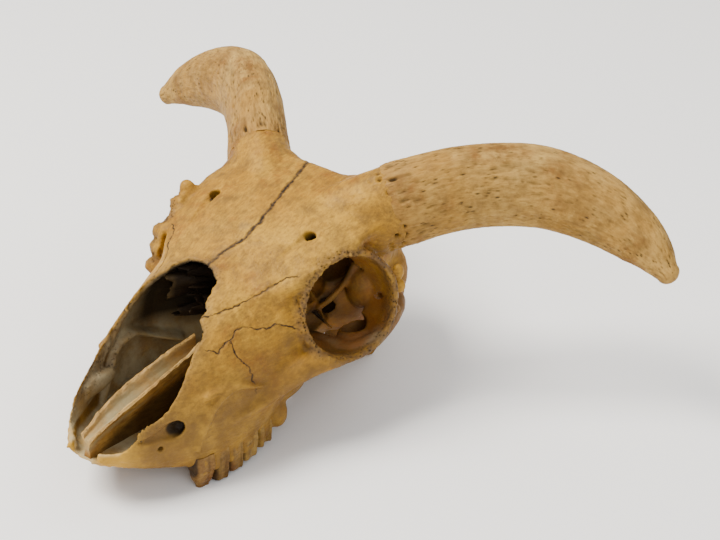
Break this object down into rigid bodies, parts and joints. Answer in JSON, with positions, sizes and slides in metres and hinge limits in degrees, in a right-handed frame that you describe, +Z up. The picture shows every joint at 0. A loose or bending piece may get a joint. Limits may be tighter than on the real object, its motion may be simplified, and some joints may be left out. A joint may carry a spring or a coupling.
{
  "type": "goat skull with horn cores",
  "caption": "Weathered goat skull with wide, down-curved horn cores, open nose, ring orbits and worn cheek teeth, lying on its tooth rows.",
  "frame": {"origin": "centre of the bounding box in plan, on the floor that the skull rests on", "axes": "+X towards the animal's left, -Y the way the nose points, +Z up"},
  "size_m": [0.2894, 0.2051, 0.1122],
  "materials": {
    "bone_tan": "weathered dry bone, ochre tan, faintly greasy",
    "bone_brown": "weathered dry bone, darker and rougher",
    "bone_grey": "thin dry inner bone, grey and dusty",
    "horn_core_bone": "porous horn core bone, grooved along its length"
  },
  "bodies": {
    "root": {"cranium_left": "bone_tan", "cranium_right": "bone_tan", "occiput": "bone_brown", "maxilla_left": "bone_tan", "maxilla_right": "bone_tan", "zygomatic_left": "bone_tan", "zygomatic_right": "bone_tan", "vomer": "bone_grey", "horn_core_left": "horn_core_bone", "horn_core_right": "horn_core_bone"}
  },
  "joints": []
}
